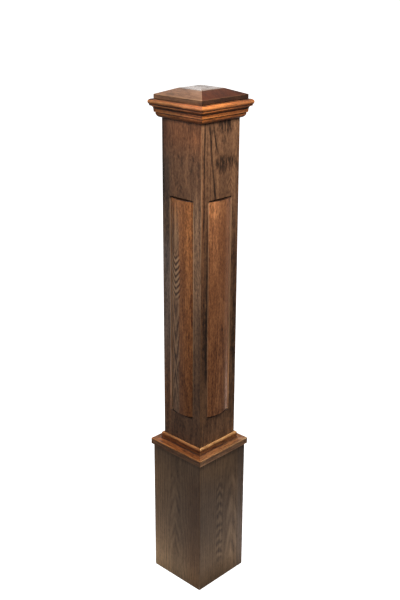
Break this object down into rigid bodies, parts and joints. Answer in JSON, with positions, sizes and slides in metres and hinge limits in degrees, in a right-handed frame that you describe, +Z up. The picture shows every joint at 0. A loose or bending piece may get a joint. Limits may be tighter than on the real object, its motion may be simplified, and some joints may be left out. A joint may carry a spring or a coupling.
{
  "type": "newel post",
  "caption": "Square box newel post with bowed panels recessed in the shaft, a moulded crown under a low hipped cap and a wider base with a stepped moulding.",
  "frame": {"origin": "centre of the post's square underside, on the floor", "axes": "+Z up along the post; -Y out of the front face, +X out of the right face"},
  "size_m": [0.1678, 0.1678, 1.2192],
  "materials": {
    "cap": "dark walnut stain, satin",
    "crown": "red-brown stain, satin",
    "shaft": "dark walnut stain, satin",
    "panel": "red-brown stain, satin",
    "base_moulding": "red-brown stain, satin",
    "base_band": "dark walnut stain, satin",
    "base": "dark walnut stain, satin"
  },
  "bodies": {
    "root": {"cap": "cap", "crown_front": "crown", "crown_right": "crown", "crown_back": "crown", "crown_left": "crown", "shaft_board_front": "shaft", "shaft_board_right": "shaft", "shaft_board_back": "shaft", "shaft_board_left": "shaft", "panel_front": "panel", "panel_right": "panel", "panel_back": "panel", "panel_left": "panel", "base_moulding_front": "base_moulding", "base_moulding_right": "base_moulding", "base_moulding_back": "base_moulding", "base_moulding_left": "base_moulding", "base_band_front": "base_band", "base_band_right": "base_band", "base_band_back": "base_band", "base_band_left": "base_band", "base_board_front": "base", "base_board_right": "base", "base_board_back": "base", "base_board_left": "base"}
  },
  "joints": []
}
